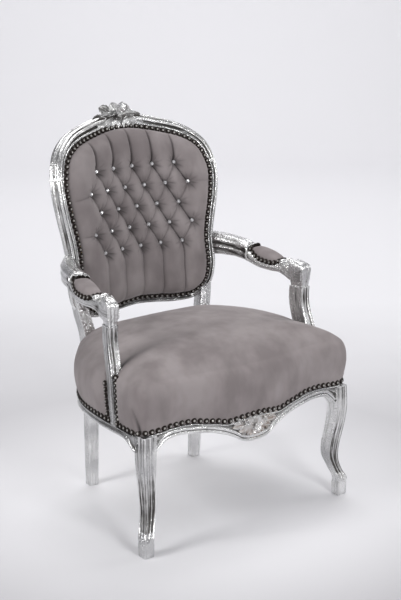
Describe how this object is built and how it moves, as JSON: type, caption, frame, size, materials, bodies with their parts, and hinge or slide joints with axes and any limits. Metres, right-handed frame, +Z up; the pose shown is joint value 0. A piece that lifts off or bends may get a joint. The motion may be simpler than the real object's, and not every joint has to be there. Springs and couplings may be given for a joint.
{
  "type": "upholstered open armchair",
  "caption": "Carved open armchair with a tufted back in a moulded frame, padded arms, curved front legs and a deep seat covered over its rails.",
  "frame": {"origin": "on the floor, in the middle of the chair's box seen from above", "axes": "+Z up, -Y the way the chair faces, +X towards the right of someone who looks at its front"},
  "size_m": [0.675, 0.6234, 1.0055],
  "materials": {
    "silver_leaf": "silver leaf over carved wood, rubbed and toned",
    "velvet": "cut velvet",
    "bronze": "antiqued",
    "crystal": "cut and foiled",
    "bare_wood": "unfinished",
    "jute": "woven",
    "black_cloth": "woven"
  },
  "bodies": {
    "root": {"front_leg_right": "silver_leaf", "front_leg_left": "silver_leaf", "back_post_right": "silver_leaf", "back_post_left": "silver_leaf", "front_rail": "silver_leaf", "side_rail_right": "silver_leaf", "side_rail_left": "silver_leaf", "back_rail": "bare_wood", "front_corner_block_right": "bare_wood", "front_corner_block_left": "bare_wood", "rear_corner_block_right": "bare_wood", "rear_corner_block_left": "bare_wood", "crest_rail": "silver_leaf", "lower_back_rail": "silver_leaf", "arm_right": "silver_leaf", "arm_left": "silver_leaf", "arm_support_right": "silver_leaf", "arm_support_left": "silver_leaf", "seat_cushion": "velvet", "seat_webbing": "jute", "dust_cover": "black_cloth", "back_cushion": "velvet", "back_cloth": "jute", "outside_back_panel": "velvet", "arm_pad_right": "velvet", "arm_pad_left": "velvet", "tuft_button_1_1": "crystal", "tuft_button_1_2": "crystal", "tuft_button_1_3": "crystal", "tuft_button_1_4": "crystal", "tuft_button_1_5": "crystal", "tuft_button_2_1": "crystal", "tuft_button_2_2": "crystal", "tuft_button_2_3": "crystal", "tuft_button_2_4": "crystal", "tuft_button_2_5": "crystal", "tuft_button_2_6": "crystal", "tuft_button_3_1": "crystal", "tuft_button_3_2": "crystal", "tuft_button_3_3": "crystal", "tuft_button_3_4": "crystal", "tuft_button_3_5": "crystal", "tuft_button_4_1": "crystal", "tuft_button_4_2": "crystal", "tuft_button_4_3": "crystal", "tuft_button_4_4": "crystal", "tuft_button_4_5": "crystal", "tuft_button_4_6": "crystal", "tuft_button_5_1": "crystal", "tuft_button_5_2": "crystal", "tuft_button_5_3": "crystal", "tuft_button_5_4": "crystal", "tuft_button_5_5": "crystal", "back_nail_row": "bronze", "front_nail_row": "bronze", "side_nail_row_right": "bronze", "side_nail_row_left": "bronze", "arm_pad_nail_row_right": "bronze", "arm_pad_nail_row_left": "bronze"}
  },
  "joints": []
}
